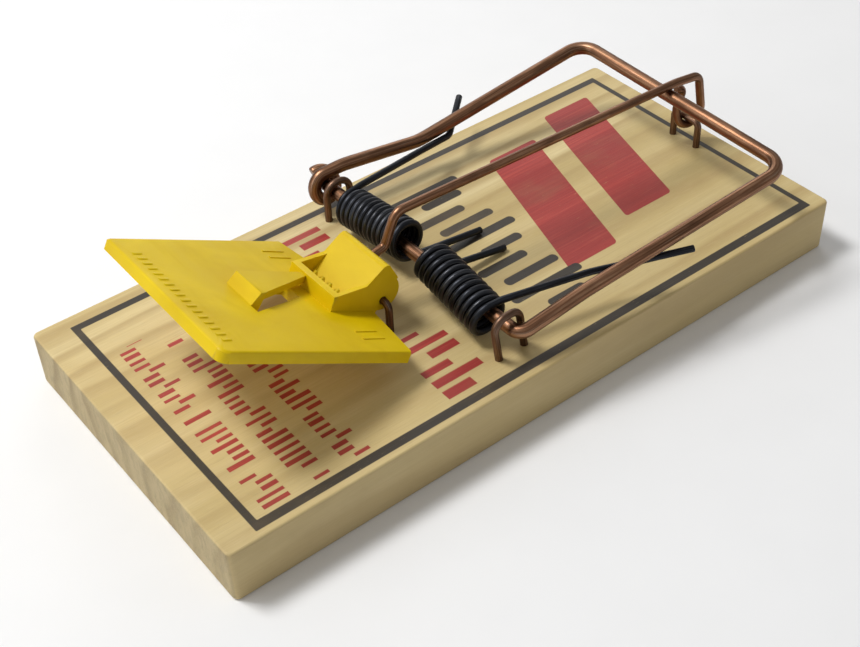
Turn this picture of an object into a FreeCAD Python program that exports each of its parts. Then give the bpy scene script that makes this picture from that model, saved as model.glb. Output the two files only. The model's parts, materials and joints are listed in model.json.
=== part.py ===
import FreeCAD, Part
import math
import os

from FreeCAD import Vector

# Rat-size snap trap, shown set.  Millimetres, +Z up.
# The origin is the middle of the board's underside.  +X runs along the board to the
# end that carries the hold-down bar, -X to the pedal end, and Y across the board.

# board
BOARD_LENGTH = 175.0
BOARD_WIDTH = 84.0
BOARD_THICKNESS = 14.0
BOARD_CORNER = 1.5
BOARD_EDGE = 0.6
TOP = BOARD_THICKNESS

# wires
HAMMER_WIRE = 3.3
SPRING_WIRE = 1.7
BAR_WIRE = 2.2
STAPLE_WIRE = 1.8
HOLD_STAPLE_WIRE = 1.8
STAPLE_BITE = 9.0

# hammer: the back rod is the axle, the front rod is the striking bar
AXLE_X = -8.4
AXLE_Z = TOP + 7.2
AXLE_RIGHT_Y = -36.0
AXLE_LEFT_Y = 37.4
STRIKER_X = 70.6
EYE_Y = 35.8
EYE_RADIUS = 3.45
EYE_PITCH = 3.5
EYE_TURNS = 1.06
EYE_DROP = 1.3

# springs
COIL_RADIUS = 4.3
LEFT_TURNS = 12.5
LEFT_INNER = Vector(-7.7, 4.2, TOP + 8.4)
LEFT_OUTER = Vector(-8.2, 26.0, TOP + 6.3)
RIGHT_TURNS = 11.5
RIGHT_INNER = Vector(-8.0, 4.8, TOP + 8.5)
RIGHT_OUTER = Vector(-9.1, 26.7, TOP + 6.0)

# hold-down bar and the staple it swings on
HOLD_X = 79.8
HOLD_Z = TOP + 7.2
BAR_HOOK_RADIUS = 2.15
BAR_HOOK_Y = -1.4
BAR_HOOK_SHIFT = 2.5

# pedal: u runs from the inner edge to the outer edge, w stands square to the plate
PEDAL_TILT = 29.1
PEDAL_EDGE = Vector(-30.0, 0.0, TOP + 7.6)
PIVOT_X = -24.5
PIVOT_Z = TOP + 7.8
PLATE_THICKNESS = 2.8
PLATE_LENGTH = 48.0
PLATE_CORNER = 2.6
RIB_HEIGHT = 0.2
HUMP_HALF = 8.2
CUP_WALL = 1.2
CUP_FLOOR = 1.0
CUP_BACK_FOOT = (1.6, 6.3)
CUP_BACK_CREST = (-1.1, 10.9)
PIVOT_CLEARANCE = 0.15
SLOT_WIDTH = 3.6
SLOT_INNER = 5.0
SLOT_OUTER = 8.05


def bent_edges(points, bend_radii):
    """Straight runs joined by tangent arcs, with one bend radius for each inner point."""
    edges = []
    start = points[0]
    for i, radius in enumerate(bend_radii, start=1):
        corner = points[i]
        back = (points[i - 1] - corner).normalize()
        ahead = (points[i + 1] - corner).normalize()
        half = back.getAngle(ahead) / 2
        reach = radius / math.tan(half)
        inward = (back + ahead).normalize()
        middle = corner + inward * (radius / math.sin(half) - radius)
        enter = corner + back * reach
        leave = corner + ahead * reach
        edges.append(Part.makeLine(start, enter))
        edges.append(Part.Arc(enter, middle, leave).toShape())
        start = leave
    edges.append(Part.makeLine(start, points[-1]))
    return edges


def coil_edges(start, end, start_side, radius, turns, left_hand=False):
    """A helix about the line from start to end that begins on the start_side of that line."""
    axis = end - start
    helix = Part.makeLongHelix(axis.Length / turns, axis.Length, radius, 0, left_hand)
    turn = FreeCAD.Rotation(start_side, Vector(), axis, "ZXY")
    helix.Placement = FreeCAD.Placement(start, turn)
    return helix.OrderedEdges


def first_end(edges):
    """Where the run of edges starts, and its heading there."""
    edge = edges[0]
    return edge.valueAt(edge.FirstParameter), edge.tangentAt(edge.FirstParameter)


def last_end(edges):
    """Where the run of edges stops, and its heading there."""
    edge = edges[-1]
    return edge.valueAt(edge.LastParameter), edge.tangentAt(edge.LastParameter)


def rod(edges, diameter):
    """Round wire along a run of tangent edges."""
    start, heading = first_end(edges)
    ring = Part.Wire([Part.makeCircle(diameter / 2, start, heading)])
    solid = Part.Wire(edges).makePipeShell([ring], True, False)
    if solid.Volume < 0:
        solid.reverse()
    return solid


def staple(foot_a, foot_b, crown_z, lean, bend, diameter):
    """A wire staple with its legs driven into the board and its crown above it."""
    drop = Vector(0, 0, STAPLE_BITE)
    top_a = Vector(foot_a.x + lean, foot_a.y, crown_z)
    top_b = Vector(foot_b.x + lean, foot_b.y, crown_z)
    points = [foot_a - drop, top_a, top_b, foot_b - drop]
    return rod(bent_edges(points, [bend, bend]), diameter)


def axle_staple_right():
    feet = Vector(-10.5, -33.1, TOP), Vector(-3.0, -32.8, TOP)
    return staple(*feet, TOP + 11.2, -3.0, 3.0, STAPLE_WIRE)


def axle_staple_left():
    feet = Vector(-11.3, 32.4, TOP), Vector(-4.5, 32.4, TOP)
    return staple(*feet, TOP + 10.2, 0.0, 3.2, STAPLE_WIRE)


def hold_down_staple():
    feet = Vector(HOLD_X, 4.1, TOP), Vector(HOLD_X, -4.2, TOP)
    return staple(*feet, HOLD_Z, 0.0, 1.5, HOLD_STAPLE_WIRE)


def pedal_staple():
    feet = Vector(PIVOT_X, 10.3, TOP), Vector(PIVOT_X, -10.3, TOP)
    return staple(*feet, PIVOT_Z, 0.0, 1.5, STAPLE_WIRE)


def base_board(staples):
    """The wooden board, with a snug hole round each staple leg."""
    corner = Vector(-BOARD_LENGTH / 2, -BOARD_WIDTH / 2, 0)
    board = Part.makeBox(BOARD_LENGTH, BOARD_WIDTH, BOARD_THICKNESS, corner)
    upright = [e for e in board.Edges if abs(e.tangentAt(e.FirstParameter).z) > 0.9]
    board = board.makeFillet(BOARD_CORNER, upright)
    rims = [e for e in board.Edges if e.BoundBox.ZLength < 0.01]
    board = board.makeFillet(BOARD_EDGE, rims)
    return board.cut(staples)


def hammer():
    """One wire: axle, right arm, striking bar, left arm, and an eye back round the axle."""
    eye_axis_start = Vector(AXLE_X, EYE_Y, AXLE_Z)
    eye_axis_end = eye_axis_start + Vector(0, EYE_PITCH * EYE_TURNS, -EYE_DROP)
    eye = coil_edges(eye_axis_start, eye_axis_end, Vector(0, 0, 1), EYE_RADIUS, EYE_TURNS, True)
    eye_start, eye_heading = first_end(eye)
    points = [
        Vector(AXLE_X, AXLE_LEFT_Y, AXLE_Z),
        Vector(AXLE_X, AXLE_RIGHT_Y, AXLE_Z),
        Vector(9.7, -36.9, TOP + 10.3),
        Vector(STRIKER_X - 0.2, -40.1, TOP + 17.1),
        Vector(STRIKER_X + 0.2, 30.4, TOP + 18.9),
        Vector(19.0, 34.8, TOP + 8.9),
        eye_start - eye_heading * 5,
        eye_start,
    ]
    frame = bent_edges(points, [2.6, 20, 5.5, 5.5, 14, 12])
    return rod(frame + eye, HAMMER_WIRE)


def spring(inner, outer, turns, knee, pass_under, tip):
    """Torsion spring on the +Y side: board leg, coil round the axle, leg under the arm."""
    coil = coil_edges(inner, outer, Vector(0, 0, -1), COIL_RADIUS, turns)
    coil_start, start_heading = first_end(coil)
    coil_end, end_heading = last_end(coil)
    board_leg_tip = Vector(14.0, inner.y, TOP + SPRING_WIRE / 2 + 0.05)
    board_leg = bent_edges(
        [board_leg_tip, coil_start - start_heading * 2.5, coil_start], [8])
    arm_leg = bent_edges(
        [coil_end, coil_end + end_heading * 3, knee, pass_under, tip], [12, 12, 4])
    return rod(board_leg + coil + arm_leg, SPRING_WIRE)


def left_spring():
    return spring(LEFT_INNER, LEFT_OUTER, LEFT_TURNS, Vector(16, 30.4, TOP + 9.3),
                  Vector(27.5, 33.0, TOP + 7.7), Vector(38.2, 42, TOP + 10.6))


def right_spring():
    mirrored = spring(RIGHT_INNER, RIGHT_OUTER, RIGHT_TURNS, Vector(16, 32.0, TOP + 9.3),
                      Vector(27.5, 36.4, TOP + 9.2), Vector(38.5, 42, TOP + 10.4))
    return mirrored.mirror(Vector(0, 0, 0), Vector(0, 1, 0))


def hold_down_bar():
    """One wire: the catch end, the long bar, a short upright, a hook round its staple, a tail."""
    hook_start = Vector(HOLD_X, BAR_HOOK_Y, HOLD_Z)
    hook_end = hook_start + Vector(0, BAR_HOOK_SHIFT, 0)
    hook = coil_edges(hook_start, hook_end, Vector(1, 0, 0), BAR_HOOK_RADIUS, 0.5)
    down_point, down_heading = first_end(hook)
    up_point, up_heading = last_end(hook)
    bar = [
        Vector(-22.8, -0.4, TOP + 13.9),
        Vector(-17.7, -0.4, TOP + 14.95),
        Vector(-14.2, -0.4, TOP + 22.75),
        Vector(72.5, -1.6, TOP + 20.95),
        Vector(80.9, -1.7, TOP + 19.9),
        down_point - down_heading * 3,
        down_point,
    ]
    tail = [
        up_point,
        up_point + up_heading * 2,
        Vector(79.2, 1.5, TOP + 15.3),
        Vector(76.6, 1.5, TOP + 15.9),
    ]
    return rod(bent_edges(bar, [1.8, 3.2, 25, 2.6, 6]) + hook + bent_edges(tail, [5, 1.6]), BAR_WIRE)


def side_extrusion(profile, half_width, middle=0.0):
    """A solid with the given (u, w) side profile, extruded across the pedal."""
    points = [Vector(-u, middle - half_width, w) for u, w in profile]
    face = Part.Face(Part.makePolygon(points + points[:1]))
    return face.extrude(Vector(0, 2 * half_width, 0))


def plan_extrusion(outline, low, high):
    """A solid with the given (u, v) outline on the pedal, between two heights w."""
    points = [Vector(-u, v, low) for u, v in outline]
    face = Part.Face(Part.makePolygon(points + points[:1]))
    return face.extrude(Vector(0, 0, high - low))


def pedal_plate():
    """The flat treadle, with one rounded corner, an eased rim and a shallow V inside."""
    outline = [(47.5, 23.5), (PLATE_LENGTH, -23.0), (-0.5, -25.4), (-3.2, -HUMP_HALF),
               (-3.2, HUMP_HALF), (0.5, 25.2)]
    plate = plan_extrusion(outline, -PLATE_THICKNESS, 0)
    near_corner = [e for e in plate.Edges
                   if e.BoundBox.ZLength > 1 and e.BoundBox.XMin < -40 and e.BoundBox.YMin < 0]
    plate = plate.makeFillet(PLATE_CORNER, near_corner)
    top_rim = [e for e in plate.Edges
               if e.BoundBox.ZMin > -0.01 and e.BoundBox.ZMax < 0.01 and e.BoundBox.XMin < -1]
    return plate.makeChamfer(0.5, top_rim)


def cup_back(w):
    """The point at height w on the sloping back wall of the bait cup."""
    (foot_u, foot_w), (crest_u, crest_w) = CUP_BACK_FOOT, CUP_BACK_CREST
    return foot_u + (crest_u - foot_u) * (w - foot_w) / (crest_w - foot_w), w


def pedal_hump():
    """The bait cup with its sloping back wall and teeth, and the round boss on the pivot."""
    block = side_extrusion([(9.4, -1.0), (9.9, 3.5), (8.5, 3.9), CUP_BACK_FOOT, CUP_BACK_CREST,
                            (-1.9, 11.6), (-2.8, 11.6), (-6.6, 8.8), (-3.6, -1.0)], HUMP_HALF)
    boss = Part.makeCylinder(4.4, 2 * HUMP_HALF, Vector(3.9, -HUMP_HALF, 4.7), Vector(0, 1, 0))
    cup = side_extrusion([(8.3, CUP_FLOOR), (8.3, 9.0), cup_back(9.0), cup_back(CUP_FLOOR)],
                         HUMP_HALF - CUP_WALL)
    teeth = [side_extrusion([(7.0, CUP_FLOOR - 0.2), (5.6, 3.4), (4.9, CUP_FLOOR - 0.2)], 0.5, v)
             for v in (-4.2, -1.4, 1.4, 4.2)]
    return block.fuse(boss).cut(cup).fuse(teeth)


def bait_strap():
    """A raised tongue that narrows from its ramp to the cup, open underneath on one side."""
    ramp = side_extrusion([(29.8, -PLATE_THICKNESS), (29.2, 0.1), (27.7, 3.0), (26.2, 3.0),
                           (27.2, -PLATE_THICKNESS)], 4.8, -0.6)
    tongue = plan_extrusion([(27.0, 4.2), (27.0, -5.4), (9.5, 2.6), (9.5, 4.2)], 1.2, 3.0)
    return ramp.fuse(tongue)


def strap_window():
    """The slanting opening in the plate under the tongue."""
    return plan_extrusion([(29.2, -8.0), (13.3, -1.7), (13.3, 4.2), (29.2, 4.2)], -5, 1)


def pedal_ribs(middle_u, half_length, places):
    """Low moulded ribs across the plate, one at each place along it."""
    near, far = middle_u - half_length, middle_u + half_length
    profile = [(far, -0.5), (far, RIB_HEIGHT), (near, RIB_HEIGHT), (near, -0.5)]
    return [side_extrusion(profile, 0.35, v) for v in places]


def catch_slot():
    """Where the end of the hold-down bar sits: a curved pocket centred on the pivot."""
    low = -SLOT_WIDTH / 2 - 0.4
    outer = Part.makeCylinder(SLOT_OUTER, SLOT_WIDTH, Vector(0, low, 0), Vector(0, 1, 0))
    inner = Part.makeCylinder(SLOT_INNER, SLOT_WIDTH, Vector(0, low, 0), Vector(0, 1, 0))
    sector = [Vector(0, low, 0), Vector(20, low, -4), Vector(20, low, 12), Vector(1.4, low, 12)]
    wedge = Part.Face(Part.makePolygon(sector + sector[:1])).extrude(Vector(0, SLOT_WIDTH, 0))
    pocket = wedge.common(outer.cut(inner))
    mouth = Part.makeBox(12, SLOT_WIDTH, 10, Vector(2.7, low, 2.0)).cut(inner)
    slot = pocket.fuse(mouth)
    slot.translate(Vector(PIVOT_X, 0, PIVOT_Z))
    return slot


def trip_pedal():
    """The moulded treadle, tilted as it stands when the trap is set."""
    plate = pedal_plate().cut(strap_window())
    ribs = pedal_ribs(6.0, 3.0, (-19.5, -16.5, 16.5, 19.5))
    ribs += pedal_ribs(44.3, 1.1, [2.2 * i - 18.7 for i in range(17)])
    pedal = plate.fuse([pedal_hump(), bait_strap()] + ribs).removeSplitter()
    pedal.Placement = FreeCAD.Placement(PEDAL_EDGE, FreeCAD.Rotation(Vector(0, 1, 0), PEDAL_TILT))
    bore = Part.makeCylinder(STAPLE_WIRE / 2 + PIVOT_CLEARANCE, 40,
                             Vector(PIVOT_X, -20, PIVOT_Z), Vector(0, 1, 0))
    return pedal.cut([bore, catch_slot()])


def main():
    os.makedirs("parts", exist_ok=True)
    parts = {
        "left_axle_staple": axle_staple_left(),
        "right_axle_staple": axle_staple_right(),
        "hold_down_staple": hold_down_staple(),
        "pedal_hinge_staple": pedal_staple(),
    }
    parts["base_board"] = base_board(list(parts.values()))
    parts["hammer"] = hammer()
    parts["left_spring"] = left_spring()
    parts["right_spring"] = right_spring()
    parts["hold_down_bar"] = hold_down_bar()
    parts["trip_pedal"] = trip_pedal()
    for name, shape in parts.items():
        shape.exportStep("parts/" + name + ".step")
        print(name, len(shape.Solids), shape.isValid(), round(shape.Volume, 1))


main()
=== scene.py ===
import json
import math

import bmesh
import bpy
from mathutils import Matrix, Vector


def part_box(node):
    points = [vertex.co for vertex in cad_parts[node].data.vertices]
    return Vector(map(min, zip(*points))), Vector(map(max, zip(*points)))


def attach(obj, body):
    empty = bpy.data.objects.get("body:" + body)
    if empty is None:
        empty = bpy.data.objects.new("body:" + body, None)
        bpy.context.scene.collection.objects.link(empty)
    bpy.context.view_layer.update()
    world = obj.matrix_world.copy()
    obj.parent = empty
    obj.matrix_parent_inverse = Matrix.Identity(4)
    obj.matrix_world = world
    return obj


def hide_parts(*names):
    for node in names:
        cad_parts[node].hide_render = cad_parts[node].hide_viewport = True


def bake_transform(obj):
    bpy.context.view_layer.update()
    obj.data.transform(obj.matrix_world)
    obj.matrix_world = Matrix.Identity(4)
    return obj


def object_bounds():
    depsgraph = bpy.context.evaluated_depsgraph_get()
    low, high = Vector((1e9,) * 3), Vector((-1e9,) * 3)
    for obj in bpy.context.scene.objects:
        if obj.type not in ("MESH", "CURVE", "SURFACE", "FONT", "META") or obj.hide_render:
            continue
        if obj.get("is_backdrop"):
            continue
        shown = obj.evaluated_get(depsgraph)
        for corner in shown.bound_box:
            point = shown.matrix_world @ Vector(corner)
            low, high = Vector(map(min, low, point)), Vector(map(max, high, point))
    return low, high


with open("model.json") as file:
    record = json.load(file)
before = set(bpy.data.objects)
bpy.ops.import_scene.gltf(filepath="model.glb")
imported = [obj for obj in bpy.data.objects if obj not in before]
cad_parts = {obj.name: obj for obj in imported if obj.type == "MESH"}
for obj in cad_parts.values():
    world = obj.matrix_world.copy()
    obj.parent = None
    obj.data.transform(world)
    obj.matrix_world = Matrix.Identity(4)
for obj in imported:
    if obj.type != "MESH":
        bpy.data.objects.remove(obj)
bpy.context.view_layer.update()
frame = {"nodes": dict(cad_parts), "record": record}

MM = 0.001
RECORD = frame["record"]
JOINTS = {joint["name"]: joint for joint in RECORD["behaviour"]["joints"]}
AXLE = Vector(JOINTS["hammer_swing"]["pos_m"]) / MM
HOLD = Vector(JOINTS["hold_down_swing"]["pos_m"]) / MM
PIVOT = Vector(JOINTS["pedal_tilt"]["pos_m"]) / MM
BOARD_LOW, BOARD_HIGH = (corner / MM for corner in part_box("base_board"))
TOP = BOARD_HIGH.z

# wire diameters, in millimetres
HAMMER_WIRE = 3.3
HOLD_DOWN_WIRE = 2.2
STAPLE_WIRE = 1.8
SPRING_WIRE = 1.7

# forms of the bent wires, in millimetres
STAPLE_BITE = 9.0  # how far a staple's legs reach into the board
EYE_START = 35.8  # from the board's middle line
EYE_RADIUS = 3.45
EYE_PITCH = 3.5
EYE_TURNS = 1.06
EYE_DROP = 1.3
COIL_RADIUS = 4.3
HOOK_RADIUS = 2.15
HOOK_SHIFT = 2.5  # sideways over the hook's half turn
BAR_CREST = 22.75  # the bar's highest bend above the board's top

# the pedal's moulding, in millimetres
WELD = 0.005
LONG_EDGE = 2.9
EASED_EDGE = 0.3


# ---------------------------------------------------------------- node helper

class Graph:
    """Short names for the shader nodes of one material."""

    def __init__(self, name):
        self.material = bpy.data.materials.new(name)
        self.material.use_nodes = True
        self.tree = self.material.node_tree
        self.shader = self.tree.nodes["Principled BSDF"]

    def put(self, value, socket):
        if isinstance(value, bpy.types.NodeSocket):
            self.tree.links.new(value, socket)
        elif hasattr(socket, "default_value"):
            if isinstance(value, (tuple, list)) and len(value) == 3 and socket.type == "RGBA":
                value = (*value, 1.0)
            socket.default_value = value

    def node(self, kind, inputs=(), **settings):
        made = self.tree.nodes.new(kind)
        for key, value in settings.items():
            setattr(made, key, value)
        for key, value in dict(inputs).items():
            self.put(value, made.inputs[key])
        return made

    def math(self, operation, a, b=0.0, clamp=False):
        made = self.node("ShaderNodeMath", {0: a, 1: b}, operation=operation, use_clamp=clamp)
        return made.outputs[0]

    def coordinates(self):
        """Place in the row frame, in millimetres."""
        place = self.node("ShaderNodeTexCoord").outputs["Object"]
        return self.node("ShaderNodeVectorMath", {0: place, 1: (1000, 1000, 1000)},
                         operation="MULTIPLY").outputs[0]

    def attribute(self, name, output="Vector"):
        return self.node("ShaderNodeAttribute", attribute_name=name).outputs[output]

    def scaled(self, vector, scale, shift=(0, 0, 0)):
        return self.node("ShaderNodeMapping", {"Vector": vector, "Scale": scale, "Location": shift}
                         ).outputs[0]

    def split(self, vector):
        made = self.node("ShaderNodeSeparateXYZ", {0: vector})
        return made.outputs[0], made.outputs[1], made.outputs[2]

    def noise(self, vector, scale, detail=3.0, roughness=0.5, distortion=0.0):
        return self.node("ShaderNodeTexNoise",
                         {"Vector": vector, "Scale": scale, "Detail": detail,
                          "Roughness": roughness, "Distortion": distortion}).outputs["Fac"]

    def remap(self, value, low, high, to_low=0.0, to_high=1.0, smooth=True):
        return self.node("ShaderNodeMapRange",
                         {"Value": value, "From Min": low, "From Max": high,
                          "To Min": to_low, "To Max": to_high},
                         interpolation_type="SMOOTHSTEP" if smooth else "LINEAR").outputs[0]

    def ramp(self, value, stops):
        made = self.node("ShaderNodeValToRGB", {0: value})
        elements = made.color_ramp.elements
        for at, colour in stops[2:]:
            elements.new(at)
        for element, (at, colour) in zip(elements, sorted(stops, key=lambda stop: stop[0])):
            element.position = at
            element.color = (*colour, 1)
        return made.outputs[0]

    def mix(self, factor, a, b):
        made = self.node("ShaderNodeMix", data_type="RGBA", blend_type="MIX")
        self.put(factor, made.inputs[0])
        self.put(a, made.inputs[6])
        self.put(b, made.inputs[7])
        return made.outputs[2]

    def bump(self, height, distance, strength):
        inputs = {"Height": height, "Distance": distance, "Strength": strength}
        return self.node("ShaderNodeBump", inputs).outputs[0]

    def finish(self, **sockets):
        for name, value in sockets.items():
            self.put(value, self.shader.inputs[name.replace("_", " ")])
        return self.material


def rgb(red, green, blue):
    """A display colour, 0 to 255 each, as linear light."""
    return tuple(((c / 255) / 12.92 if c <= 10 else ((c / 255 + 0.055) / 1.055) ** 2.4)
                 for c in (red, green, blue))


# ---------------------------------------------------------------- board material

def rounded_box(g, x, y, box, corner=0.3, soft=0.12):
    """1 inside a rounded rectangle (x0, x1, y0, y1) of the board's top, 0 outside."""
    x0, x1, y0, y1 = box
    reach = []
    for value, low, high in ((x, x0, x1), (y, y0, y1)):
        away = g.math("ABSOLUTE", g.math("SUBTRACT", value, (low + high) / 2))
        reach.append(g.math("MAXIMUM", g.math("SUBTRACT", away, (high - low) / 2 - corner), 0))
    far = g.math("SQRT", g.math("ADD", g.math("POWER", reach[0], 2), g.math("POWER", reach[1], 2)))
    return g.remap(far, corner - soft, corner + soft, 1, 0)


def any_of(g, masks):
    total = masks[0]
    for mask in masks[1:]:
        total = g.math("MAXIMUM", total, mask)
    return total


# plain printed marks on the board's top, in millimetres
BORDER_OUTSIDE = (-79.7, 82.6, -40.1, 38.0)  # start, stop, right, left
BORDER_INSIDE = (-78.0, 81.1, -37.7, 36.0)
STROKE_HALF = 1.35
PANEL_SLANT = 0.30
BLACK_STROKES = [  # place across the board, start and stop along it
    (26.0, 3.0, 24.0), (20.8, 9.0, 21.0), (15.2, 3.0, 17.5), (9.6, 6.0, 22.0), (3.6, 3.0, 24.0),
    (-2.4, 9.0, 21.0), (-8.4, 3.0, 17.5), (-14.4, 6.0, 22.0), (-20.4, 3.0, 24.0), (-26.4, 9.0, 20.0),
]
RED_PANELS = [(27.0, 42.5, -20.0, 26.0), (49.5, 65.0, -14.0, 32.0)]  # start, stop, right, left
TICK_ROWS = [  # start and stop along, right and left edge, pitch, share inked, share left out
    (-75.4, -69.0, -36.5, 24.0, 2.15, 0.56, 0.10), (-65.6, -59.4, -36.5, 19.5, 2.15, 0.54, 0.10),
    (-55.4, -49.2, -36.5, 20.5, 2.15, 0.56, 0.10), (-28.0, -15.0, -36.0, -14.0, 4.1, 0.60, 0.0),
    (-28.0, -15.0, 14.0, 34.5, 4.1, 0.60, 0.0),
]


def tick_row(g, x, y, box, pitch, share, gaps):
    """A row of plain upright ticks of uneven length and spacing inside a box of the top."""
    low, high, right, _ = box
    step = g.math("DIVIDE", g.math("SUBTRACT", y, right), pitch)
    count = g.math("FLOOR", step)
    chance = g.node("ShaderNodeTexWhiteNoise", {"W": g.math("ADD", count, low)},
                    noise_dimensions="1D").outputs["Value"]
    other = g.node("ShaderNodeTexWhiteNoise", {"W": g.math("ADD", count, low + 77.3)},
                   noise_dimensions="1D").outputs["Value"]
    within = g.math("FRACT", step)
    width = g.math("MULTIPLY", g.remap(chance, 0, 1, 0.8, 1.2, False), share)
    tick = g.remap(within, g.math("SUBTRACT", width, 0.05), g.math("ADD", width, 0.05), 1, 0)
    tick = g.math("MULTIPLY", tick, g.remap(within, 0.0, 0.06))
    trim = (high - low) * 0.4
    start = g.math("ADD", low, g.math("MULTIPLY", g.math("GREATER_THAN", other, 0.72), trim))
    stop = g.math("SUBTRACT", high, g.math("MULTIPLY", g.math("LESS_THAN", other, 0.28), trim))
    tall = g.math("MULTIPLY",
                  g.remap(x, g.math("SUBTRACT", start, 0.1), g.math("ADD", start, 0.1)),
                  g.remap(x, g.math("SUBTRACT", stop, 0.1), g.math("ADD", stop, 0.1), 1, 0))
    kept = g.math("GREATER_THAN", chance, gaps)
    inside = rounded_box(g, x, y, box, 0.2)
    return g.math("MULTIPLY", g.math("MULTIPLY", tick, tall), g.math("MULTIPLY", kept, inside))


def board_material():
    g = Graph("board_wood")
    place = g.coordinates()
    x, y, z = g.split(place)
    normal = g.node("ShaderNodeNewGeometry").outputs["Normal"]
    normal_x, normal_y, normal_z = g.split(normal)

    # growth rings: the heart lies far beyond the front side, so the rings stand nearly upright
    drift = g.noise(g.scaled(place, (0.005, 0.02, 0.02)), 1.0, 3, 0.5)
    drift = g.math("MULTIPLY", g.math("SUBTRACT", drift, 0.5), 30)
    heart_y = g.math("ADD", g.math("ADD", y, 96), drift)
    heart_z = g.math("ADD", z, 16)
    radius = g.math("SQRT", g.math("ADD", g.math("POWER", heart_y, 2), g.math("POWER", heart_z, 2)))
    ripple = g.math("MULTIPLY", g.noise(g.scaled(place, (0.015, 0.22, 0.22)), 1.0, 2), 3.0)
    phase = g.math("FRACT", g.math("DIVIDE", g.math("ADD", radius, ripple), 8.4))
    late = g.math("MULTIPLY", g.remap(phase, 0.30, 0.80), g.remap(phase, 0.80, 0.98, 1, 0))
    ring_strength = g.remap(g.noise(g.scaled(place, (0.004, 0.04, 0.04)), 1.0, 2), 0.3, 0.7, 0.35, 1)
    late = g.math("MULTIPLY", late, ring_strength)
    band = g.remap(g.noise(g.scaled(place, (0.003, 0.11, 0.03)), 1.0, 2, 0.5), 0.38, 0.62)

    # fibres run along the board
    fibre = g.noise(g.scaled(place, (0.05, 2.6, 2.6)), 1.0, 5, 0.62)
    fine = g.noise(g.scaled(place, (0.16, 9.0, 9.0)), 1.0, 3, 0.6)
    pores = g.remap(g.noise(g.scaled(place, (0.22, 5.5, 5.5)), 1.0, 1), 0.70, 0.78)
    wash = g.noise(g.scaled(place, (0.008, 0.045, 0.045)), 1.0, 3, 0.55, 0.4)

    colour = g.ramp(wash, [(0.30, rgb(212, 191, 139)), (0.72, rgb(225, 207, 157)),
                           (0.52, rgb(206, 183, 127))])
    colour = g.mix(g.math("MULTIPLY", band, 0.45), colour, rgb(184, 161, 101))
    colour = g.mix(g.math("MULTIPLY", late, 0.62), colour, rgb(168, 140, 88))
    colour = g.mix(g.remap(fibre, 0.35, 0.75, 0, 0.34), colour, rgb(180, 154, 104))
    colour = g.mix(g.remap(fine, 0.45, 0.8, 0, 0.25), colour, rgb(228, 215, 180))
    colour = g.mix(g.math("MULTIPLY", pores, 0.35), colour, rgb(146, 116, 72))

    # sawn end grain is greyer and darker, with fuzzy upright streaks and speckled pores
    end = g.remap(g.math("ABSOLUTE", normal_x), 0.6, 0.9)
    speckle = g.noise(g.scaled(place, (1.5, 4.5, 2.2)), 1.0, 4, 0.7)
    torn = g.noise(g.scaled(place, (0.5, 0.9, 0.25)), 1.0, 4, 0.65, 0.6)
    end_colour = g.mix(g.math("MULTIPLY", late, 0.85), rgb(184, 165, 122), rgb(142, 120, 80))
    end_colour = g.mix(g.remap(torn, 0.42, 0.66, 0, 0.55), end_colour, rgb(148, 132, 98))
    end_colour = g.mix(g.remap(speckle, 0.4, 0.7, 0, 0.3), end_colour, rgb(200, 184, 144))
    colour = g.mix(end, colour, end_colour)

    # the long sides are planed; their colour is painted a little darker and greyer, as painted shade
    side = g.remap(g.math("ABSOLUTE", normal_y), 0.6, 0.9)
    colour = g.mix(g.math("MULTIPLY", side, 0.35), colour, rgb(184, 164, 122))

    # ink on the top face: a border line, strokes, slanted panels and rows of ticks
    up = g.remap(normal_z, 0.9, 0.98)
    worn = g.noise(g.scaled(place, (0.30, 2.4, 1)), 1.0, 4, 0.65)
    take = g.remap(worn, 0.24, 0.36, 0.55, 1.0)
    fill = g.math("MULTIPLY", take, g.remap(fibre, 0.55, 0.9, 1.0, 0.86))
    border = g.math("SUBTRACT", rounded_box(g, x, y, BORDER_OUTSIDE),
                    rounded_box(g, x, y, BORDER_INSIDE))
    strokes = [rounded_box(g, x, y, (start, stop, across - STROKE_HALF, across + STROKE_HALF), 1.2)
               for across, start, stop in BLACK_STROKES]
    black = any_of(g, [border] + strokes)
    slant = g.math("SUBTRACT", x, g.math("MULTIPLY", y, PANEL_SLANT))
    panels = [rounded_box(g, slant, y, panel, 1.0) for panel in RED_PANELS]
    ticks = [tick_row(g, x, y, row[:4], *row[4:]) for row in TICK_ROWS]
    red = any_of(g, panels + ticks)
    black = g.math("MULTIPLY", g.math("MULTIPLY", black, up), fill)
    red = g.math("MULTIPLY", g.math("MULTIPLY", red, up), fill)
    red_ink = g.mix(g.remap(fibre, 0.35, 0.75), rgb(156, 24, 30), rgb(182, 50, 44))
    red_ink = g.mix(g.math("MULTIPLY", band, 0.5), red_ink, rgb(134, 20, 26))
    colour = g.mix(g.math("MULTIPLY", red, 0.96), colour, red_ink)
    colour = g.mix(g.math("MULTIPLY", black, 0.975), colour, rgb(40, 34, 29))

    # handling marks: random darker patches over the board
    grime = g.remap(g.noise(g.scaled(place, (0.03, 0.05, 0.05), (7, 3, 1)), 1.0, 4, 0.6), 0.55, 0.8)
    colour = g.mix(g.math("MULTIPLY", grime, 0.22), colour, rgb(150, 124, 84))

    height = g.math("ADD", g.math("MULTIPLY", fibre, 0.6), g.math("MULTIPLY", fine, 0.4))
    height = g.math("SUBTRACT", height, g.math("MULTIPLY", pores, 0.5))
    height = g.math("ADD", height, g.math("MULTIPLY", g.math("MULTIPLY", end, speckle), 1.4))
    height = g.math("ADD", height, g.math("MULTIPLY", late, 0.35))
    ink = g.math("MAXIMUM", red, black)
    rough = g.math("SUBTRACT", g.remap(fine, 0.3, 0.8, 0.62, 0.74, False),
                   g.math("MULTIPLY", ink, 0.16))
    return g.finish(Base_Color=colour, Roughness=rough, Normal=g.bump(height, 0.00009, 0.55))


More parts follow.
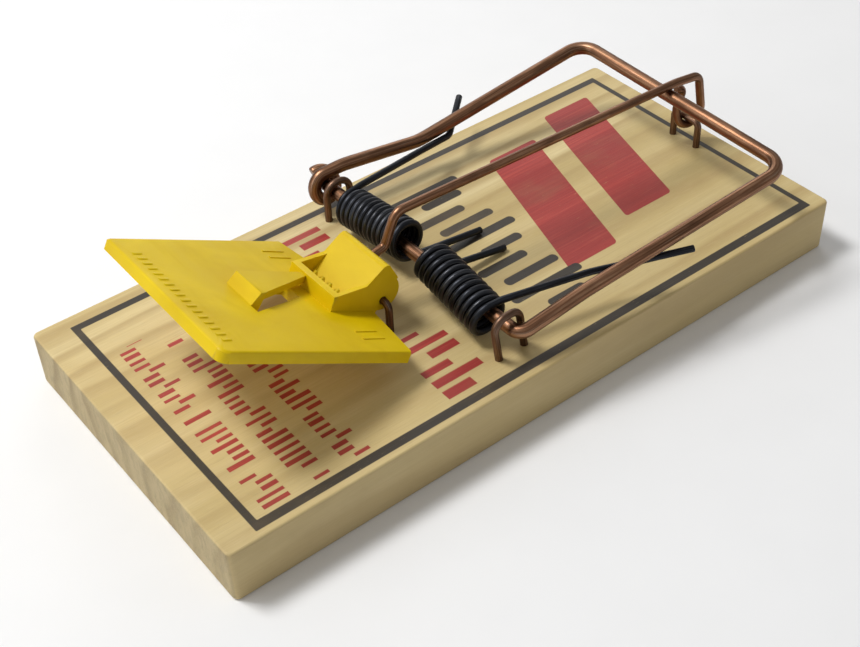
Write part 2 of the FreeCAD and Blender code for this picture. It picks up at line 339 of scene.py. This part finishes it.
# ---------------------------------------------------------------- metal and plastic

def wire_material(name, deep, mid, pale, bare, cut_colour, wear, rough):
    """Drawn wire: streaks along it, bare patches on the bends, a sheared end."""
    g = Graph(name)
    along = g.attribute("wire_place")
    bend = g.attribute("wire_bend", "Fac")
    cut = g.attribute("wire_cut", "Fac")
    streak = g.noise(g.scaled(along, (2.2, 2.2, 0.035)), 1.0, 5, 0.6)
    scratch = g.noise(g.scaled(along, (9.0, 9.0, 0.10)), 1.0, 3, 0.55)
    patch = g.noise(g.scaled(along, (0.35, 0.35, 0.10)), 1.0, 4, 0.6)
    fleck = g.noise(g.scaled(along, (3.0, 3.0, 0.9)), 1.0, 4, 0.7)
    colour = g.ramp(streak, [(0.30, deep), (0.72, pale), (0.52, mid)])
    colour = g.mix(g.remap(patch, 0.42, 0.68, 0, 0.6), colour, deep)
    bared = g.math("ADD", wear, g.math("MULTIPLY", bend, 0.5))
    worn = g.math("MULTIPLY", g.remap(scratch, 0.56, 0.72), bared)
    worn = g.math("ADD", worn, g.math("MULTIPLY", g.remap(fleck, 0.66, 0.74), 0.35), clamp=True)
    colour = g.mix(worn, colour, bare)
    colour = g.mix(g.math("MULTIPLY", cut, 0.75), colour, cut_colour)
    shine = g.math("ADD", g.remap(streak, 0.3, 0.7, rough - 0.07, rough + 0.10, False),
                   g.math("MULTIPLY", patch, 0.10))
    height = g.math("ADD", g.math("MULTIPLY", streak, 0.6), g.math("MULTIPLY", scratch, 0.4))
    return g.finish(Base_Color=colour, Metallic=1.0, Roughness=shine,
                    Normal=g.bump(height, 0.00003, 0.5))


def pedal_material():
    g = Graph("pedal_plastic")
    place = g.coordinates()
    mould = g.noise(g.scaled(place, (0.06, 0.06, 0.06)), 1.0, 3, 0.5, 0.6)
    flow = g.noise(g.scaled(place, (0.12, 0.03, 0.12)), 1.0, 4, 0.55, 0.8)
    grain = g.noise(place, 5.5, 3, 0.6)
    dust = g.noise(place, 1.1, 4, 0.7)
    colour = g.ramp(mould, [(0.3, rgb(212, 178, 2)), (0.7, rgb(226, 194, 4)), (0.5, rgb(218, 186, 3))])
    colour = g.mix(g.remap(flow, 0.5, 0.75, 0, 0.35), colour, rgb(200, 164, 2))
    colour = g.mix(g.remap(dust, 0.62, 0.75, 0, 0.14), colour, rgb(226, 200, 30))
    shine = g.math("ADD", g.remap(grain, 0.3, 0.7, 0.36, 0.48, False),
                   g.remap(flow, 0.4, 0.8, 0, 0.12, False))
    height = g.math("ADD", g.math("MULTIPLY", grain, 0.35), g.math("MULTIPLY", dust, 0.65))
    material = g.finish(Base_Color=colour, Roughness=shine, Normal=g.bump(height, 0.00004, 0.35))
    g.shader.inputs["Subsurface Weight"].default_value = 0.10
    g.shader.inputs["Subsurface Radius"].default_value = (1.0, 0.7, 0.1)
    g.shader.inputs["Subsurface Scale"].default_value = 0.0012
    g.shader.inputs["IOR"].default_value = 1.49
    g.shader.inputs["Specular IOR Level"].default_value = 0.22
    return material


# ---------------------------------------------------------------- wire pieces

def bent_path(points, bends):
    """Points along straight runs joined by arcs, one bend radius for each inner corner."""
    path = [points[0]]
    for i, radius in enumerate(bends, start=1):
        corner = points[i]
        back = (points[i - 1] - corner).normalized()
        ahead = (points[i + 1] - corner).normalized()
        half = back.angle(ahead) / 2
        enter = corner + back * (radius / math.tan(half))
        centre = corner + (back + ahead).normalized() * (radius / math.sin(half))
        sweep = math.pi - 2 * half
        axis = back.cross(ahead).normalized() * -1
        steps = max(2, math.ceil(sweep / math.radians(6)))
        for k in range(steps + 1):
            path.append(centre + Matrix.Rotation(sweep * k / steps, 3, axis) @ (enter - centre))
    path.append(points[-1])
    return path


def coil_path(start, end, start_side, radius, turns, left_hand=False):
    """Points along a helix about the line start to end, starting on the start_side of it."""
    axis = (end - start).normalized()
    side = (start_side - axis * start_side.dot(axis)).normalized()
    hand = -1 if left_hand else 1
    count = round(turns * 40)
    path = []
    for k in range(count + 1):
        turn = Matrix.Rotation(hand * 2 * math.pi * turns * k / count, 3, axis)
        path.append(start.lerp(end, k / count) + turn @ side * radius)
    return path


def heading(path, at_end=False):
    return (path[-1] - path[-2]).normalized() if at_end else (path[1] - path[0]).normalized()


def fill_in(path, longest=3.0):
    """The path without doubled points and with no step longer than the given length."""
    full = [path[0]]
    for point in path[1:]:
        step = (point - full[-1]).length
        if step < 0.02:
            continue
        pieces = max(1, math.ceil(step / longest))
        begin = full[-1]
        full += [begin.lerp(point, k / pieces) for k in range(1, pieces + 1)]
    return full


def wire(name, node, body, path, diameter, material, sides=18):
    """A round wire with eased, sheared ends, carrying its own length and turn for the material."""
    path = fill_in(path)
    headings = [(b - a).normalized() for a, b in zip(path, path[1:])]
    tangents = [headings[0]] + [(a + b).normalized() for a, b in zip(headings, headings[1:])]
    tangents.append(headings[-1])
    bends = [0.0] + [min(1.0, a.angle(b) / 0.12) for a, b in zip(headings, headings[1:])] + [0.0]
    radius = diameter / 2
    ease = diameter * 0.07
    side = tangents[0].orthogonal().normalized()
    rings = []
    length = 0.0
    for i, (point, tangent) in enumerate(zip(path, tangents)):
        if i:
            length += (point - path[i - 1]).length
            side = tangents[i - 1].rotation_difference(tangent) @ side
            side = (side - tangent * side.dot(tangent)).normalized()
        turn = (side.copy(), tangent.cross(side))
        face = [(point, *turn, radius / 2, length, 0.0, 1.0),
                (point, *turn, radius - ease, length, 0.0, 1.0)]
        if i == 0:
            rings += face + [(point + tangent * ease, *turn, radius, ease, 0.0, 0.0)]
        elif i == len(path) - 1:
            rings += [(point - tangent * ease, *turn, radius, length - ease, 0.0, 0.0)] + face[::-1]
        else:
            rings.append((point, *turn, radius, length, bends[i], 0.0))
    places, places_along, bend_values, cut_values, faces = [], [], [], [], []
    for point, side, other, radius, at, bend, cut in rings:
        for k in range(sides):
            angle = 2 * math.pi * k / sides
            spoke = side * math.cos(angle) + other * math.sin(angle)
            places.append((point + spoke * radius) * MM)
            places_along.append((math.cos(angle) * diameter / 2, math.sin(angle) * diameter / 2, at))
            bend_values.append(bend)
            cut_values.append(cut)
    for i in range(len(rings) - 1):
        for k in range(sides):
            a, b = i * sides + k, i * sides + (k + 1) % sides
            faces.append((a, b, b + sides, a + sides))
    faces.append(tuple(range(sides - 1, -1, -1)))
    last = (len(rings) - 1) * sides
    faces.append(tuple(range(last, last + sides)))
    mesh = bpy.data.meshes.new(name)
    mesh.from_pydata(places, [], faces)
    mesh.attributes.new("wire_place", "FLOAT_VECTOR", "POINT").data.foreach_set(
        "vector", [c for place in places_along for c in place])
    mesh.attributes.new("wire_bend", "FLOAT", "POINT").data.foreach_set("value", bend_values)
    mesh.attributes.new("wire_cut", "FLOAT", "POINT").data.foreach_set("value", cut_values)
    mesh.polygons.foreach_set("use_smooth", [True] * len(mesh.polygons))
    mesh.set_sharp_from_angle(angle=math.radians(50))
    mesh.materials.append(material)
    piece = bpy.data.objects.new(name, mesh)
    bpy.context.scene.collection.objects.link(piece)
    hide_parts(node)
    if body:
        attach(piece, body)
    return piece


def staple(name, node, foot_a, foot_b, crown_z, lean, bend, material):
    drop = Vector((0, 0, STAPLE_BITE))
    top_a = Vector((foot_a[0] + lean, foot_a[1], crown_z))
    top_b = Vector((foot_b[0] + lean, foot_b[1], crown_z))
    start = Vector((*foot_a, TOP)) - drop
    stop = Vector((*foot_b, TOP)) - drop
    path = bent_path([start, top_a, top_b, stop], [bend, bend])
    wire(name, node, "base", path, STAPLE_WIRE, material)


def hammer(material):
    eye_start = AXLE + Vector((0, EYE_START, 0))
    eye_end = eye_start + Vector((0, EYE_PITCH * EYE_TURNS, -EYE_DROP))
    eye = coil_path(eye_start, eye_end, Vector((0, 0, 1)), EYE_RADIUS, EYE_TURNS, left_hand=True)
    turn_in = heading(eye)
    points = [
        Vector((AXLE.x, 37.4, AXLE.z)), Vector((AXLE.x, -36.0, AXLE.z)),
        Vector((9.7, -36.9, TOP + 10.3)), Vector((70.4, -40.1, TOP + 17.1)),
        Vector((70.8, 30.4, TOP + 18.9)), Vector((19.0, 34.8, TOP + 8.9)),
        eye[0] - turn_in * 5, eye[0],
    ]
    path = bent_path(points, [2.6, 20, 5.5, 5.5, 14, 12]) + eye
    wire("hammer_wire", "hammer", "hammer", path, HAMMER_WIRE, material, 24)


def spring(name, node, side, inner, outer, turns, knee, pass_under, tip, material):
    """A torsion spring drawn for the +Y side, and mirrored across the board when side is -1."""
    coil = coil_path(inner, outer, Vector((0, 0, -1)), COIL_RADIUS, turns)
    board_leg = bent_path([Vector((14.0, inner.y, TOP + 0.9)), coil[0] - heading(coil) * 2.5,
                           coil[0]], [8])
    arm_leg = bent_path([coil[-1], coil[-1] + heading(coil, True) * 3, knee, pass_under, tip],
                        [12, 12, 4])
    flip = Matrix.Diagonal((1, side, 1))
    path = [flip @ point for point in board_leg + coil + arm_leg]
    piece = wire(name, node, None, path, SPRING_WIRE, material, 16)
    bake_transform(piece)


def hold_down_bar(material):
    hook_start = HOLD + Vector((0, -1.4, 0))
    hook_end = hook_start + Vector((0, HOOK_SHIFT, 0))
    hook = coil_path(hook_start, hook_end, Vector((1, 0, 0)), HOOK_RADIUS, 0.5)
    bar = bent_path([
        Vector((-22.8, -0.4, TOP + 13.9)), Vector((-17.7, -0.4, TOP + 14.95)),
        Vector((-14.2, -0.4, TOP + BAR_CREST)), Vector((72.5, -1.6, TOP + 20.95)),
        Vector((80.9, -1.7, TOP + 19.9)), hook[0] - heading(hook) * 3, hook[0],
    ], [1.8, 3.2, 25, 2.6, 6])
    tail = bent_path([
        hook[-1], hook[-1] + heading(hook, True) * 2,
        Vector((79.2, 1.5, TOP + 15.3)), Vector((76.6, 1.5, TOP + 15.9)),
    ], [5, 1.6])
    wire("hold_down_wire", "hold_down_bar", "hold_down", bar + hook + tail, HOLD_DOWN_WIRE,
         material, 20)


def pedal(material):
    """The pedal's moulding: the CAD shape with flat faces joined up and its long edges eased."""
    mesh = frame["nodes"]["trip_pedal"].data.copy()
    mesh.name = "pedal_moulding"
    shape = bmesh.new()
    shape.from_mesh(mesh)
    bmesh.ops.remove_doubles(shape, verts=shape.verts, dist=WELD * MM)
    bmesh.ops.dissolve_limit(shape, angle_limit=math.radians(1), verts=shape.verts,
                             edges=shape.edges)
    long_edges = [edge for edge in shape.edges
                  if len(edge.link_faces) == 2 and edge.calc_length() > LONG_EDGE * MM
                  and edge.calc_face_angle() > math.radians(50)]
    bmesh.ops.bevel(shape, geom=long_edges, offset=EASED_EDGE * MM, segments=3, profile=0.5,
                    affect="EDGES", clamp_overlap=True)
    bmesh.ops.triangulate(shape, faces=[face for face in shape.faces if len(face.verts) > 4])
    shape.to_mesh(mesh)
    shape.free()
    mesh.polygons.foreach_set("use_smooth", [True] * len(mesh.polygons))
    mesh.set_sharp_from_angle(angle=math.radians(32))
    mesh.materials.clear()
    mesh.materials.append(material)
    piece = bpy.data.objects.new("pedal_moulding", mesh)
    bpy.context.scene.collection.objects.link(piece)
    flatten = piece.modifiers.new("flat_faces", "WEIGHTED_NORMAL")
    flatten.weight = 100
    flatten.keep_sharp = True
    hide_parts("trip_pedal")
    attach(piece, "pedal")


def board(material):
    piece = frame["nodes"]["base_board"]
    piece.data.materials.clear()
    piece.data.materials.append(material)


# ---------------------------------------------------------------- stage

WORLD_LIGHT = 0.34
WORLD_SEEN = 0.90  # how bright the world is to the camera itself
LAMPS = [  # name, place from the part's middle and size in metres, watts
    ("key", (-0.30, 0.34, 0.82), 0.26, 6.4),
    ("window", (-0.90, 0.30, 0.40), 0.50, 1.6),
    ("rim", (0.55, 0.75, 0.45), 0.50, 1.5),
]
CAMERA_PLACE = (-158.142, -205.876, 225.151)  # in millimetres
CAMERA_TARGET = (-16.05, -13.98, 14.0)
CAMERA_ROLL = -2.54  # degrees
CAMERA_LENS = 59.04
CAMERA_SENSOR = 36


def stage():
    low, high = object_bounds()
    bpy.ops.mesh.primitive_plane_add(size=6, location=(0, 0, low.z))
    floor = bpy.context.object
    floor.name = "floor"
    g = Graph("floor_paper")
    place = g.node("ShaderNodeTexCoord").outputs["Object"]
    speck = g.noise(place, 60, 3)
    away = g.node("ShaderNodeVectorMath", {0: place}, operation="LENGTH").outputs["Value"]
    seen = g.node("ShaderNodeLightPath").outputs["Is Camera Ray"]
    # far from the lamps the paper would go grey, so to the camera alone it stays pale
    glow = g.math("MULTIPLY", g.remap(away, 0.30, 1.10, 0, 0.60), seen)
    floor.data.materials.append(g.finish(
        Base_Color=g.mix(speck, (0.86, 0.86, 0.86), (0.89, 0.89, 0.89)), Roughness=0.8,
        Emission_Color=(1.0, 1.0, 1.0, 1.0), Emission_Strength=glow))
    floor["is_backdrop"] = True

    world = bpy.data.worlds.new("studio")
    world.use_nodes = True
    tree = world.node_tree
    light_path = tree.nodes.new("ShaderNodeLightPath")
    strength = tree.nodes.new("ShaderNodeMapRange")
    strength.inputs["To Min"].default_value = WORLD_LIGHT
    strength.inputs["To Max"].default_value = WORLD_SEEN
    tree.links.new(light_path.outputs["Is Camera Ray"], strength.inputs["Value"])
    tree.links.new(strength.outputs[0], tree.nodes["Background"].inputs["Strength"])
    tree.nodes["Background"].inputs["Color"].default_value = (1, 1, 1, 1)
    bpy.context.scene.world = world
    bpy.context.scene.view_settings.view_transform = "Standard"

    middle = (low + high) / 2
    for name, place, size, watts in LAMPS:
        lamp = bpy.data.lights.new(name, "AREA")
        lamp.size = size
        lamp.energy = watts
        made = bpy.data.objects.new(name, lamp)
        bpy.context.scene.collection.objects.link(made)
        made.location = middle + Vector(place)
        made.rotation_mode = "QUATERNION"
        made.rotation_quaternion = (-Vector(place)).to_track_quat("-Z", "Y")


def camera():
    place = Vector(CAMERA_PLACE) * MM
    target = Vector(CAMERA_TARGET) * MM
    roll = math.radians(CAMERA_ROLL)
    ahead = (target - place).normalized()
    right = ahead.cross(Vector((0, 0, 1))).normalized()
    up = right.cross(ahead)
    turned_right = right * math.cos(roll) + up * math.sin(roll)
    turned_up = up * math.cos(roll) - right * math.sin(roll)
    data = bpy.data.cameras.new("camera")
    data.lens = CAMERA_LENS
    data.sensor_width = CAMERA_SENSOR
    data.clip_start = 0.01
    made = bpy.data.objects.new("camera", data)
    bpy.context.scene.collection.objects.link(made)
    basis = Matrix((turned_right, turned_up, -ahead)).transposed().to_4x4()
    made.matrix_world = Matrix.Translation(place) @ basis
    bpy.context.scene.camera = made


def main():
    copper = wire_material("coppered_wire", rgb(92, 64, 46), rgb(142, 102, 76), rgb(188, 148, 116),
                           rgb(178, 160, 140), rgb(132, 104, 84), 0.34, 0.33)
    staple_copper = wire_material("staple_wire", rgb(72, 54, 44), rgb(116, 88, 70),
                                  rgb(158, 130, 110), rgb(150, 138, 126), rgb(110, 90, 78), 0.34, 0.38)
    dark_steel = wire_material("spring_steel", rgb(32, 33, 37), rgb(54, 56, 61), rgb(82, 84, 90),
                               rgb(124, 122, 120), rgb(165, 163, 160), 0.14, 0.36)
    board(board_material())
    pedal(pedal_material())
    hammer(copper)
    hold_down_bar(copper)
    staple("right_staple_wire", "right_axle_staple", (-10.5, -33.1), (-3.0, -32.8), TOP + 11.2,
           -3.0, 3.0, staple_copper)
    staple("left_staple_wire", "left_axle_staple", (-11.3, 32.4), (-4.5, 32.4), TOP + 10.2,
           0.0, 3.2, staple_copper)
    staple("hold_down_staple_wire", "hold_down_staple", (HOLD.x, 4.1), (HOLD.x, -4.2), HOLD.z,
           0.0, 1.5, staple_copper)
    staple("pedal_staple_wire", "pedal_hinge_staple", (PIVOT.x, 10.3), (PIVOT.x, -10.3), PIVOT.z,
           0.0, 1.5, staple_copper)
    spring("left_spring_wire", "left_spring", 1, Vector((-7.7, 4.2, TOP + 8.4)),
           Vector((-8.2, 26.0, TOP + 6.3)), 12.5, Vector((16, 30.4, TOP + 9.3)),
           Vector((27.5, 33.0, TOP + 7.7)), Vector((38.2, 42, TOP + 10.6)), dark_steel)
    spring("right_spring_wire", "right_spring", -1, Vector((-8.0, 4.8, TOP + 8.5)),
           Vector((-9.1, 26.7, TOP + 6.0)), 11.5, Vector((16, 32.0, TOP + 9.3)),
           Vector((27.5, 36.4, TOP + 9.2)), Vector((38.5, 42, TOP + 10.4)), dark_steel)
    stage()
    camera()


main()
